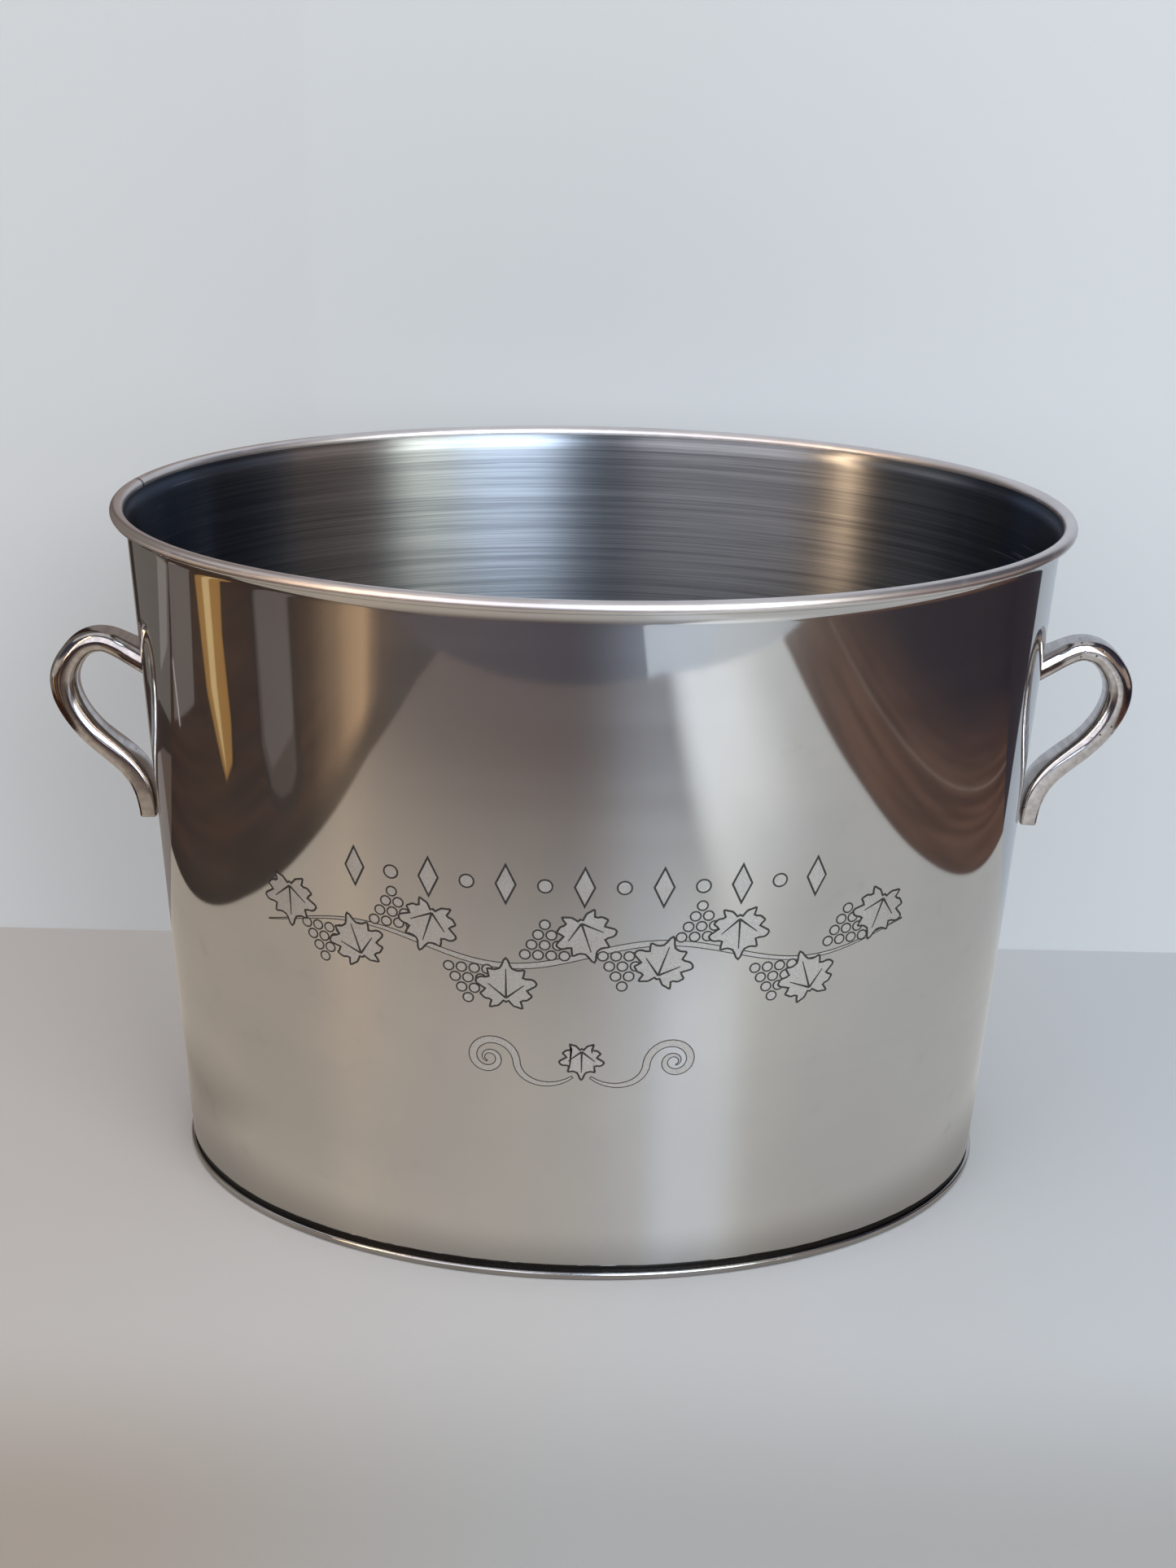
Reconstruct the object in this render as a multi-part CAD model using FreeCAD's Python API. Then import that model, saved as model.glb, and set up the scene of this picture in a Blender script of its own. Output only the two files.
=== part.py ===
import FreeCAD, Part

import math
import os

from FreeCAD import Vector

# An oval champagne bucket, pressed and rolled from stainless sheet. The wall is one strip bent
# to an ellipse and welded at one end, its top rolled outwards over a stiffening wire, its foot
# turned out into a flange. The base pan's edge is hemmed round that flange over a bead of
# sealing compound. Two cast ear handles are welded to the ends. Nothing moves.
#
# Frame: origin under the middle of the bucket on the table, X from handle to handle, Z up.
# Every ring is a profile in (d, z), swept round the oval: d is how far outside the wall's
# widest line it lies, and z is its height above the table.

# Overall sizes
RIM_LENGTH = 340.0            # outside the rolled rim, along X
RIM_WIDTH = 225.0             # outside the rolled rim, along Y
HEIGHT = 262.0                # table to the top of the rolled rim

# Sheet and wall
SHEET = 0.7
TAPER = 7.8                   # how far the wall leans in, on every side, from cove to neck
NECK_DEPTH = 0.5              # the pinched line above the foot seam
NECK_HEIGHT = 2.2
SHOULDER_HEIGHT = 0.8         # from the neck out to the wall

# Rolled rim
BEAD_RADIUS = 2.3             # outside of the roll
BEAD_END = -118.0             # degrees: where the rolled edge stops, seen along the rim
COVE_OUT = 1.4                # the flare that carries the sheet out to the roll
COVE_HEIGHT = 6.0
COVE_RUN = 0.6                # straight lead into the roll
WIRE_CLEARANCE = 0.05         # between the wire and the sheet rolled over it

# Foot seam
SEALANT = 0.45                # compound above and below the flange
FLANGE_OUT = 0.7              # flange beyond the neck
FLANGE_BEND = 0.2             # inside radius of the flange bend
HEM_CLEARANCE = 0.1           # flange edge to the inside of the hem
HEM_RADIUS = 1.0              # outside corners of the hem
LIP_GAP = 0.15                # hem edge to the neck

# Base pan
PANEL_HEIGHT = 3.2            # table to the underside of the raised panel
PAN_CLEARANCE = 0.1           # pan's upstand inside the wall
PANEL_RADIUS = 0.4
CONTACT_RADIUS = 0.9
DRESSING = 0.02               # dressed off the contact ring so it stands truly flat
PANEL_MARGIN = 18.0           # width of the flat swept with the hem before the panel takes over

# Handles, on the wall's end lines; the right one was set a little higher than the left
RIGHT_DROP = 56.4             # rim top to the middle of the upper root
LEFT_DROP = 61.0
GRIP_WIDTH = 12.5             # across the grip, along Y
BAR_ROUNDING = 0.47           # corner radius of the bar, as a share of its thickness
FOOT_ROUNDING = 0.2           # the foot is flatter, with crisper corners
HANDLE_SECTIONS = [           # out from the wall, up from the root's middle, across, thickness, rounding
    (-3.0, -3.0, 19.0, 8.6, BAR_ROUNDING),
    (7.5, 2.4, 14.0, 8.2, BAR_ROUNDING),
    (15.0, 5.3, GRIP_WIDTH, 8.2, BAR_ROUNDING),
    (21.5, 4.0, GRIP_WIDTH, 8.6, BAR_ROUNDING),
    (26.8, -0.8, GRIP_WIDTH, 9.2, BAR_ROUNDING),
    (30.8, -8.6, GRIP_WIDTH, 10.2, BAR_ROUNDING),
    (30.8, -16.1, GRIP_WIDTH, 10.2, BAR_ROUNDING),
    (28.0, -23.6, GRIP_WIDTH, 9.6, BAR_ROUNDING),
    (22.2, -31.8, GRIP_WIDTH, 9.2, BAR_ROUNDING),
    (14.7, -38.8, 13.0, 8.8, 0.4),
    (8.4, -45.8, 13.5, 8.0, 0.3),
    (5.2, -53.8, 14.0, 6.8, FOOT_ROUNDING),
    (4.4, -63.6, 14.0, 6.2, FOOT_ROUNDING),
]
FOOT_CHAMFER = 0.8            # sheared edge at the end of the foot
ROOT_TRIM = 12.0              # how deep behind the wall's face the handle's ends are cut away

# Worked out from the sizes above
OVERHANG = COVE_OUT + 2 * BEAD_RADIUS - SHEET
HALF_LENGTH = RIM_LENGTH / 2 - OVERHANG
HALF_WIDTH = RIM_WIDTH / 2 - OVERHANG
BEAD_HEIGHT = HEIGHT - BEAD_RADIUS
COVE_START = BEAD_HEIGHT - COVE_RUN - COVE_HEIGHT
FLANGE_TOP = 2 * SHEET + SEALANT
SEAM_HEIGHT = 3 * SHEET + 2 * SEALANT
SHOULDER_TOP = SEAM_HEIGHT + NECK_HEIGHT + SHOULDER_HEIGHT
NECK = -TAPER - NECK_DEPTH
FLANGE_EDGE = NECK + FLANGE_OUT
HEM_OUT = FLANGE_EDGE + HEM_CLEARANCE + SHEET
PAN_WALL = NECK - 2 * SHEET - PAN_CLEARANCE


def at(d, z):
    """A point of a ring's profile, on the +X end of the oval."""
    return Vector(HALF_LENGTH + d, 0, z)


def line(start, end):
    return Part.LineSegment(at(*start), at(*end)).toShape()


def arc(centre, radius, first, last):
    """An arc of the profile about a centre, between two angles in degrees."""
    points = []
    for angle in (first, (first + last) / 2, last):
        turn = math.radians(angle)
        points.append(at(centre[0] + radius * math.cos(turn), centre[1] + radius * math.sin(turn)))
    return Part.Arc(*points).toShape()


def sheet_section(edges, thickness):
    """The profile of a bent sheet: one of its faces as a path, thickened to one side."""
    path = Part.Wire(edges)
    return path.makeOffset2D(thickness, fill=True, openResult=True).Faces[0].OuterWire


def polygon(corners):
    """A straight-sided section through corners given in order."""
    return Part.makePolygon([at(*corner) for corner in corners + corners[:1]])


def sweep(section):
    """A closed ring: the section carried once round the oval, always upright."""
    oval = Part.Ellipse(Vector(0, 0, 0), HALF_LENGTH, HALF_WIDTH).toShape()
    pipe = Part.BRepOffsetAPI.MakePipeShell(Part.Wire([oval]))
    pipe.setBiNormalMode(Vector(0, 0, 1))
    pipe.add(section)
    pipe.build()
    pipe.makeSolid()
    return pipe.shape()


def wall_lean(z):
    """How far the wall's outer face stands inside its widest line at height z."""
    return -TAPER * (COVE_START - z) / (COVE_START - SHOULDER_TOP)


def bucket_wall():
    """Flange, neck, tapered wall, cove and rolled rim, as one bent sheet."""
    bend = (NECK + FLANGE_BEND, FLANGE_TOP + FLANGE_BEND)
    neck_top = SEAM_HEIGHT + NECK_HEIGHT
    sweep_radius = (COVE_HEIGHT ** 2 + COVE_OUT ** 2) / (4 * COVE_OUT)
    sweep_angle = math.degrees(2 * math.atan(COVE_OUT / COVE_HEIGHT))
    cove_end = COVE_START + COVE_HEIGHT
    roll = (COVE_OUT + BEAD_RADIUS - SHEET, BEAD_HEIGHT)
    return sweep(sheet_section([
        line((FLANGE_EDGE, FLANGE_TOP), (bend[0], FLANGE_TOP)),
        arc(bend, FLANGE_BEND, 270, 180),
        line((NECK, bend[1]), (NECK, neck_top)),
        line((NECK, neck_top), (-TAPER, SHOULDER_TOP)),
        line((-TAPER, SHOULDER_TOP), (0, COVE_START)),
        arc((sweep_radius, COVE_START), sweep_radius, 180, 180 - sweep_angle),
        arc((COVE_OUT - sweep_radius, cove_end), sweep_radius, -sweep_angle, 0),
        line((COVE_OUT, cove_end), (COVE_OUT, BEAD_HEIGHT)),
        arc(roll, BEAD_RADIUS - SHEET, 180, 0),
        arc(roll, BEAD_RADIUS - SHEET, 0, BEAD_END),
    ], SHEET))


def rim_wire():
    """The steel wire that the rim is rolled over."""
    middle = at(COVE_OUT + BEAD_RADIUS - SHEET, BEAD_HEIGHT)
    radius = BEAD_RADIUS - SHEET - WIRE_CLEARANCE
    return sweep(Part.Wire([Part.Circle(middle, Vector(0, 1, 0), radius).toShape()]))


def base_pan():
    """Raised panel, upstand inside the wall, contact ring, and hem folded over the flange."""
    foot = (PAN_WALL + CONTACT_RADIUS, CONTACT_RADIUS - DRESSING)
    shoulder = (PAN_WALL - PANEL_RADIUS, PANEL_HEIGHT - PANEL_RADIUS)
    low_corner = (HEM_OUT - HEM_RADIUS, HEM_RADIUS - DRESSING)
    high_corner = (HEM_OUT - HEM_RADIUS, SEAM_HEIGHT - HEM_RADIUS)
    panel_edge = PAN_WALL - PANEL_MARGIN
    rim = sweep(sheet_section([
        line((panel_edge, PANEL_HEIGHT), (shoulder[0], PANEL_HEIGHT)),
        arc(shoulder, PANEL_RADIUS, 90, 0),
        line((PAN_WALL, shoulder[1]), (PAN_WALL, foot[1])),
        arc(foot, CONTACT_RADIUS, 180, 270),
        line((foot[0], -DRESSING), (low_corner[0], -DRESSING)),
        arc(low_corner, HEM_RADIUS, 270, 360),
        line((HEM_OUT, low_corner[1]), (HEM_OUT, high_corner[1])),
        arc(high_corner, HEM_RADIUS, 0, 90),
        line((high_corner[0], SEAM_HEIGHT), (NECK + LIP_GAP, SEAM_HEIGHT)),
    ], SHEET))
    reach = PAN_WALL - PANEL_MARGIN / 2
    outline = Part.Ellipse(Vector(0, 0, PANEL_HEIGHT), HALF_LENGTH + reach, HALF_WIDTH + reach)
    panel = Part.Face(Part.Wire([outline.toShape()])).extrude(Vector(0, 0, SHEET))
    half_x, half_y = HALF_LENGTH + OVERHANG, HALF_WIDTH + OVERHANG
    below = Part.makeBox(2 * half_x, 2 * half_y, 5, Vector(-half_x, -half_y, -5))
    return rim.fuse(panel).removeSplitter().cut(below)


def seam_sealant():
    """Sealing compound round the flange, inside the hem: a C in section."""
    inner, outer = NECK + FLANGE_BEND, HEM_OUT - SHEET
    low, high = SHEET - DRESSING, FLANGE_TOP + SEALANT
    corner = HEM_RADIUS - SHEET
    return sweep(Part.Wire([
        line((inner, low), (outer - corner, low)),
        arc((outer - corner, low + corner), corner, 270, 360),
        line((outer, low + corner), (outer, high - corner)),
        arc((outer - corner, high - corner), corner, 0, 90),
        line((outer - corner, high), (inner, high)),
        line((inner, high), (inner, FLANGE_TOP)),
        line((inner, FLANGE_TOP), (FLANGE_EDGE, FLANGE_TOP)),
        line((FLANGE_EDGE, FLANGE_TOP), (FLANGE_EDGE, FLANGE_TOP - SHEET)),
        line((FLANGE_EDGE, FLANGE_TOP - SHEET), (inner, FLANGE_TOP - SHEET)),
        line((inner, FLANGE_TOP - SHEET), (inner, low)),
    ]))


def bar_section(middle, along, across, thickness, rounding):
    """A rounded rectangle square to the bar: across runs along Y."""
    side = Vector(0, 1, 0)
    up = along.cross(side)
    radius = rounding * thickness
    wide, deep = across / 2, thickness / 2
    edges = []
    for turn in range(4):
        halfway = radius * math.sqrt(0.5)
        if turn % 2 == 0:
            half, reach, u, v = wide - radius, deep, side, up
        else:
            half, reach, u, v = deep - radius, wide, up, side * -1
        if turn > 1:
            u, v = u * -1, v * -1
        centre = middle + u * half + v * (reach - radius)
        corner = [centre + v * radius, centre + (u + v) * halfway, centre + u * radius]
        edges.append(Part.LineSegment(middle - u * half + v * reach, corner[0]).toShape())
        edges.append(Part.Arc(*corner).toShape())
    return Part.Wire(Part.__sortEdges__(edges))


def handle(drop):
    """The +X ear: a rounded bar from its upper root, round the grip and down to a flat foot."""
    root = HEIGHT - drop
    middles = []
    for out, up, *_ in HANDLE_SECTIONS:
        z = root + up
        middles.append(Vector(HALF_LENGTH + wall_lean(z) + out, 0, z))
    path = Part.BSplineCurve()
    path.interpolate(middles)
    sections = []
    for middle, (_, _, across, thickness, rounding) in zip(middles, HANDLE_SECTIONS):
        along = Vector(path.tangent(path.parameter(middle))[0])
        sections.append(bar_section(middle, along, across, thickness, rounding))
    bar = Part.makeLoft(sections, True, False)
    foot = min(bar.Faces, key=lambda face: face.CenterOfMass.z)
    bar = bar.makeChamfer(FOOT_CHAMFER, foot.Edges)
    behind = sweep(polygon([
        (-TAPER, SHOULDER_TOP),
        (0, COVE_START),
        (-ROOT_TRIM, COVE_START),
        (-TAPER - ROOT_TRIM, SHOULDER_TOP),
    ]))
    return max(bar.cut(behind).Solids, key=lambda solid: solid.Volume)


def mirrored(shape):
    return shape.mirror(Vector(0, 0, 0), Vector(1, 0, 0))


def main():
    parts = {
        "bucket_wall": bucket_wall(),
        "rim_wire": rim_wire(),
        "base_pan": base_pan(),
        "seam_sealant": seam_sealant(),
        "handle_right": handle(RIGHT_DROP),
        "handle_left": mirrored(handle(LEFT_DROP)),
    }
    os.makedirs("parts", exist_ok=True)
    for name, shape in parts.items():
        shape.exportStep(os.path.join("parts", name + ".step"))
        box = shape.optimalBoundingBox()
        print(f"{name}: {len(shape.Solids)} solid, valid {shape.isValid()}, {shape.Volume / 1000:.2f} cm3,"
              f" x {box.XMin:.1f}..{box.XMax:.1f}, y {box.YMin:.1f}..{box.YMax:.1f},"
              f" z {box.ZMin:.2f}..{box.ZMax:.2f}")


main()
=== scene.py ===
# %% [markdown]
# # An oval champagne bucket
#
# The real thing is one strip of thin stainless sheet, bent to an oval and welded at one end. Its
# top edge is rolled over a wire, its foot is folded together with the base, and two cast ears
# are welded to the ends. The outside is polished like a mirror and the inside is left brushed.
#
# We build it the way it is made. A sheet is a line seen from its end, so each ring starts as a
# chain of points, is spun once round, laid on the oval, and then given its thickness.

import math

import bmesh
import bpy
import numpy as np
from mathutils import Matrix, Vector, noise


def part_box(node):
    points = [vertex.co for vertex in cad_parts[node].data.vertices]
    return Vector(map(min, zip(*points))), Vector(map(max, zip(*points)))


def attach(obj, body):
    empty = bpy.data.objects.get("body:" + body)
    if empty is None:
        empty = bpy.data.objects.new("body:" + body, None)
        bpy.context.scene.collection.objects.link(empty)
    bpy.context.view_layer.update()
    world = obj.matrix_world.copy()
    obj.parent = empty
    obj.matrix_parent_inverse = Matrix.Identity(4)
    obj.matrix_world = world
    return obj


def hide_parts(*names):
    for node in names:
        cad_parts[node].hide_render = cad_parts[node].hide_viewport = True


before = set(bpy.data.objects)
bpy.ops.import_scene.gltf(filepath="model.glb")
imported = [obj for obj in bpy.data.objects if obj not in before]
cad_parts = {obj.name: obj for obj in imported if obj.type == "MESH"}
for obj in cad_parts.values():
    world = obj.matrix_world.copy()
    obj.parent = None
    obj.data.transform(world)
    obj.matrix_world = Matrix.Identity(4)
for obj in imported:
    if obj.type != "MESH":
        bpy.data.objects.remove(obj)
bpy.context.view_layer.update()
MM = 0.001
wall_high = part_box("bucket_wall")[1]

# %% [markdown]
# ## The camera
#
# It stands in front of the bucket, well above it, and looks down into the mouth. A lens of 45 mm
# on a tall frame is a little wide, which is what makes the mouth look open and the foot narrow.

# %% Camera
camera_data = bpy.data.cameras.new("camera")
camera_data.lens = 44.84
camera_data.sensor_width = 36.0
camera = bpy.data.objects.new("camera", camera_data)
bpy.context.scene.collection.objects.link(camera)
LOOK_DOWN, TILT, SWING = 24.0, 1.19, 0.14
turned = (
    Matrix.Rotation(math.radians(SWING), 4, "Z")
    @ Matrix.Rotation(math.radians(90.0 - LOOK_DOWN), 4, "X")
    @ Matrix.Rotation(math.radians(TILT), 4, "Z")
)
camera.matrix_world = Matrix.Translation((0.001644, -0.672854, 0.451720)) @ turned
bpy.context.scene.camera = camera
print("camera", [round(value, 3) for value in camera.location])

# %% [markdown]
# ## The oval and its rings
#
# Every horizontal section is the same oval, moved in or out square to itself. So a ring is spun
# on a circle of radius one, where a point's distance from the circle says how far out it is,
# and then every point is laid on the oval. The poles and seams of hand-made lists never arise.

# %% The oval
OVERHANG = 5.3  # the rolled rim stands this far outside the oval
SPARE = 0.01  # kept inside the frame's box
HALF_LENGTH = wall_high.x / MM - OVERHANG - SPARE
HALF_WIDTH = wall_high.y / MM - OVERHANG - SPARE
STEPS = 360


def on_oval(turn, out):
    """A point of the oval in millimetres, moved out square to it, and the way out."""
    way = Vector((HALF_WIDTH * math.cos(turn), HALF_LENGTH * math.sin(turn))).normalized()
    x = HALF_LENGTH * math.cos(turn) + way.x * out
    y = HALF_WIDTH * math.sin(turn) + way.y * out
    return x, y, way


def lay_on_oval(bm, waves=None):
    """Moves a ring spun at radius one, which holds its distance out, on to the oval."""
    for vert in bm.verts:
        turn = math.atan2(vert.co.y, vert.co.x)
        out = (math.hypot(vert.co.x, vert.co.y) - 1.0) / MM
        height = vert.co.z / MM
        if waves:
            out, height = waves(turn, out, height)
        x, y, _ = on_oval(turn, out)
        vert.co = Vector((x, y, height)) * MM


print(f"oval {2 * HALF_LENGTH:.1f} by {2 * HALF_WIDTH:.1f} mm")


# %% Rings of bent sheet
def arc(centre, radius, first, last, count):
    """Points of a bend, as (out, height) in millimetres, from one angle to another."""
    turns = [math.radians(first + (last - first) * i / count) for i in range(count + 1)]
    return [(centre[0] + radius * math.cos(t), centre[1] + radius * math.sin(t)) for t in turns]


def spin_ring(line, waves=None):
    """A bmesh of an open line of (out, height) points, spun once round the oval."""
    bm = bmesh.new()
    chain = [bm.verts.new((1.0 + out * MM, 0.0, height * MM)) for out, height in line]
    edges = [bm.edges.new(pair) for pair in zip(chain, chain[1:])]
    bmesh.ops.spin(
        bm,
        geom=chain + edges,
        cent=(0, 0, 0),
        axis=(0, 0, 1),
        angle=math.tau,
        steps=STEPS,
        use_merge=True,
    )
    lay_on_oval(bm, waves)
    return bm


def finish_piece(bm, name, materials, replaced=(), angle=35.0):
    """Turns a bmesh into a shaded piece that rides on the bucket's body."""
    mesh = bpy.data.meshes.new(name)
    bm.to_mesh(mesh)
    bm.free()
    mesh.shade_smooth()
    mesh.set_sharp_from_angle(angle=math.radians(angle))
    piece = bpy.data.objects.new(name, mesh)
    bpy.context.scene.collection.objects.link(piece)
    for material in materials:
        mesh.materials.append(material)
    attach(piece, "root")
    if replaced:
        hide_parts(*replaced)
    print(name, len(mesh.vertices), "points,", len(mesh.polygons), "faces")
    return piece


# %% [markdown]
# ## Shader maths
#
# Materials are easier to read as sums. A small class wraps a socket, and Python's own signs add
# the Math nodes. Everything else comes from one method that makes any node.


# %% Sockets that can be added and multiplied
class Wave:
    """A value that changes over a surface."""

    def __init__(self, finish, socket):
        self.finish, self.socket = finish, socket

    def maths(self, operation, *values, clamp=False):
        return self.finish.node(
            "ShaderNodeMath", dict(enumerate(values)), operation=operation, use_clamp=clamp
        )

    def __add__(self, other):
        return self.maths("ADD", self, other)

    def __sub__(self, other):
        return self.maths("SUBTRACT", self, other)

    def __rsub__(self, other):
        return self.maths("SUBTRACT", other, self)

    def __mul__(self, other):
        return self.maths("MULTIPLY", self, other)

    def __truediv__(self, other):
        return self.maths("DIVIDE", self, other)

    def __abs__(self):
        return self.maths("ABSOLUTE", self)

    __radd__ = __add__
    __rmul__ = __mul__

    def between(self, low, high, start=0.0, end=1.0):
        """Rises smoothly from start to end as this goes from low to high."""
        return self.finish.node(
            "ShaderNodeMapRange",
            {0: self, 1: low, 2: high, 3: start, 4: end},
            interpolation_type="SMOOTHSTEP",
        )

    def power(self, exponent):
        return self.maths("POWER", self, exponent)


class Finish:
    """One material and the nodes that make it."""

    def __init__(self, name):
        self.material = bpy.data.materials.new(name)
        self.material.use_nodes = True
        self.tree = self.material.node_tree
        self.tree.nodes.clear()
        self.place = self.node("ShaderNodeTexCoord", output="Object")

    def node(self, kind, values=(), output=0, stops=None, **settings):
        made = self.tree.nodes.new(kind)
        for key, value in settings.items():
            setattr(made, key, value)
        if stops:
            ramp = made.color_ramp
            while len(ramp.elements) < len(stops):
                ramp.elements.new(0.5)
            for element, (position, colour) in zip(ramp.elements, stops):
                element.position, element.color = position, colour
        for key, value in dict(values).items():
            if isinstance(value, Wave):
                self.tree.links.new(value.socket, made.inputs[key])
            else:
                made.inputs[key].default_value = value
        return Wave(self, made.outputs[output] if made.outputs else None)

    def axes(self):
        """The place's x, y and z, each on its own."""
        split = self.node("ShaderNodeSeparateXYZ", {0: self.place}).socket.node
        return [Wave(self, output) for output in split.outputs]

    def stretched(self, x, y, z):
        """The place with each axis scaled, for grain that runs one way."""
        return self.node("ShaderNodeMapping", {"Vector": self.place, "Scale": (x, y, z)})

    def speckle(self, place, scale, detail=2.0, roughness=0.5):
        """Smooth noise from about 0.3 to 0.7."""
        return self.node(
            "ShaderNodeTexNoise",
            {"Vector": place, "Scale": scale, "Detail": detail, "Roughness": roughness},
        )

    def mix(self, share, first, second):
        """A colour that goes from first to second."""
        return self.node(
            "ShaderNodeMix", {0: share, 6: first, 7: second}, output=2, data_type="RGBA"
        )

    def bump(self, height, strength, distance):
        return self.node(
            "ShaderNodeBump", {"Height": height, "Strength": strength, "Distance": distance}
        )

    def surface(self, shader):
        self.node("ShaderNodeOutputMaterial", {"Surface": shader})
        return self.material


def tone(red, green, blue, strength=1.0):
    """A screen colour from 0 to 255 as the linear colour that a shader wants."""
    linear = []
    for value in (red / 255.0, green / 255.0, blue / 255.0):
        part = value / 12.92 if value <= 0.04045 else ((value + 0.055) / 1.055) ** 2.4
        linear.append(part * strength)
    return (*linear, 1.0)


print("shader maths ready")

# %% [markdown]
# ## Mirror polish
#
# A polished sheet is two finishes in one. Most of the light leaves as from a mirror, and some is
# spread up and down by the fine lines that the belt left round the wall. So a sharp shader and a
# stretched, soft one are mixed. Faint dents bend the mirror a little, and hairlines, handling
# marks and dried drops change how much is spread.


# %% Mirror polish material
def mirror_polish():
    finish = Finish("mirror polished sheet")
    x = finish.axes()[0]
    lines = finish.speckle(finish.stretched(6.0, 6.0, 2600.0), 1.0, 3.0, 0.7)
    broad = finish.speckle(finish.stretched(5.0, 5.0, 160.0), 1.0, 2.0)
    cloud = finish.speckle(finish.place, 14.0, 3.0)
    marks = finish.speckle(finish.place, 55.0, 4.0, 0.65).between(0.6, 0.78)
    drops = finish.node(
        "ShaderNodeTexVoronoi", {"Vector": finish.place, "Scale": 46.0}, feature="F1"
    )
    rings = abs(drops - 0.16).between(0.0, 0.02, 1.0, 0.0)
    rare = finish.speckle(finish.place, 9.0, 0.0).between(0.56, 0.62)
    scratch_place = finish.node(
        "ShaderNodeMapping",
        {"Vector": finish.place, "Rotation": (0.0, 0.5, 0.0), "Scale": (18.0, 18.0, 900.0)},
    )
    scratch = finish.speckle(scratch_place, 1.0, 1.0).between(0.70, 0.76)
    near_ends = abs(x).between(0.10, 0.162)
    handled = marks * (0.25 + near_ends * 0.75)
    dents = finish.speckle(finish.place, 17.0, 1.0)
    fine = finish.bump(lines, 0.03, 0.00002)
    shape = finish.node(
        "ShaderNodeBump",
        {"Height": dents, "Strength": 0.10, "Distance": 0.0006, "Normal": fine},
    )
    base = finish.mix(
        cloud.between(0.35, 0.65), tone(212, 209, 205), tone(205, 203, 201)
    )
    worn = finish.mix(handled * 0.5, base, tone(186, 182, 178))
    sharp = finish.node(
        "ShaderNodeBsdfPrincipled",
        {
            "Base Color": worn,
            "Metallic": 1.0,
            "Roughness": 0.045 + handled * 0.05 + rings * rare * 0.04,
            "Normal": shape,
        },
    )
    soft = finish.node(
        "ShaderNodeBsdfPrincipled",
        {
            "Base Color": worn,
            "Metallic": 1.0,
            "Roughness": 0.42,
            "Anisotropic": 0.93,
            "Anisotropic Rotation": 0.25,
            "Normal": fine,
        },
    )
    share = 0.15 + broad * 0.06 + scratch * 0.02 + handled * 0.10
    return finish.surface(finish.node("ShaderNodeMixShader", {0: share, 1: sharp, 2: soft}))


outside = mirror_polish()
print(outside.name, len(outside.node_tree.nodes), "nodes")

# %% [markdown]
# ## Brushed inside
#
# Inside, the belt's lines were left. They run round the wall, so light is thrown up and down and
# every window becomes a tall soft band. The lines differ in depth, a few are scratches, shade is
# painted in dark blue-grey towards both ends, and the weld at the left end was ground by hand.


# %% Brushed sheet material
JOINT = 0.0165  # where the strip's ends were welded, along Y at the left end


def brushed_inside():
    finish = Finish("brushed inside sheet")
    x, y = finish.axes()[:2]
    lines = finish.speckle(finish.stretched(9.0, 9.0, 1500.0), 1.0, 4.0, 0.75)
    bands = finish.speckle(finish.stretched(4.0, 4.0, 520.0), 1.0, 3.0)
    long_scratch = finish.speckle(finish.stretched(26.0, 26.0, 1900.0), 1.0, 0.0)
    cuts = long_scratch.between(0.76, 0.80)
    slanted = finish.node(
        "ShaderNodeMapping",
        {"Vector": finish.place, "Rotation": (0.0, 0.42, 0.0), "Scale": (22.0, 22.0, 1100.0)},
    )
    nicks = finish.speckle(slanted, 1.0, 0.0).between(0.78, 0.80)
    weld = x.between(-0.160, -0.140, 1.0, 0.0) * abs(y - JOINT).between(0.005, 0.014, 1.0, 0.0)
    grind = finish.speckle(finish.stretched(300.0, 500.0, 90.0), 1.0, 2.0)
    height = lines * 0.5 + bands * 0.12 + cuts * 0.06 + grind * weld * 0.3
    grain = finish.bump(height, 0.16, 0.00003)
    brushed = lines.between(0.35, 0.65) * 0.6 + bands.between(0.35, 0.65) * 0.4
    bright = finish.mix(brushed, tone(142, 142, 144), tone(192, 191, 191))
    # Painted shade: towards both ends the inside is painted dark blue-grey.
    ends = abs(x).between(0.120, 0.157, 0.0, 0.92)
    base = finish.mix(ends, bright, tone(54, 62, 80))
    marked = finish.mix(cuts * 0.10 + nicks * 0.22, base, tone(215, 214, 213))
    shader = finish.node(
        "ShaderNodeBsdfPrincipled",
        {
            "Base Color": marked,
            "Metallic": 1.0,
            "Roughness": 0.29 + bands * 0.06 + cuts * 0.02 + weld * 0.05,
            "Anisotropic": 0.98,
            "Anisotropic Rotation": 0.25,
            "Normal": grain,
        },
    )
    return finish.surface(shader)


inside = brushed_inside()
print(inside.name, len(inside.node_tree.nodes), "nodes")

# %% [markdown]
# ## Satin edges, handles, etching and the rest
#
# The rolled rim and the folded foot are buffed by hand, so they are softer than the wall and
# slightly warm. The handles are castings, polished bright, with a few pits where the metal was
# porous. The etched ornament is the same steel made matt.


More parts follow.
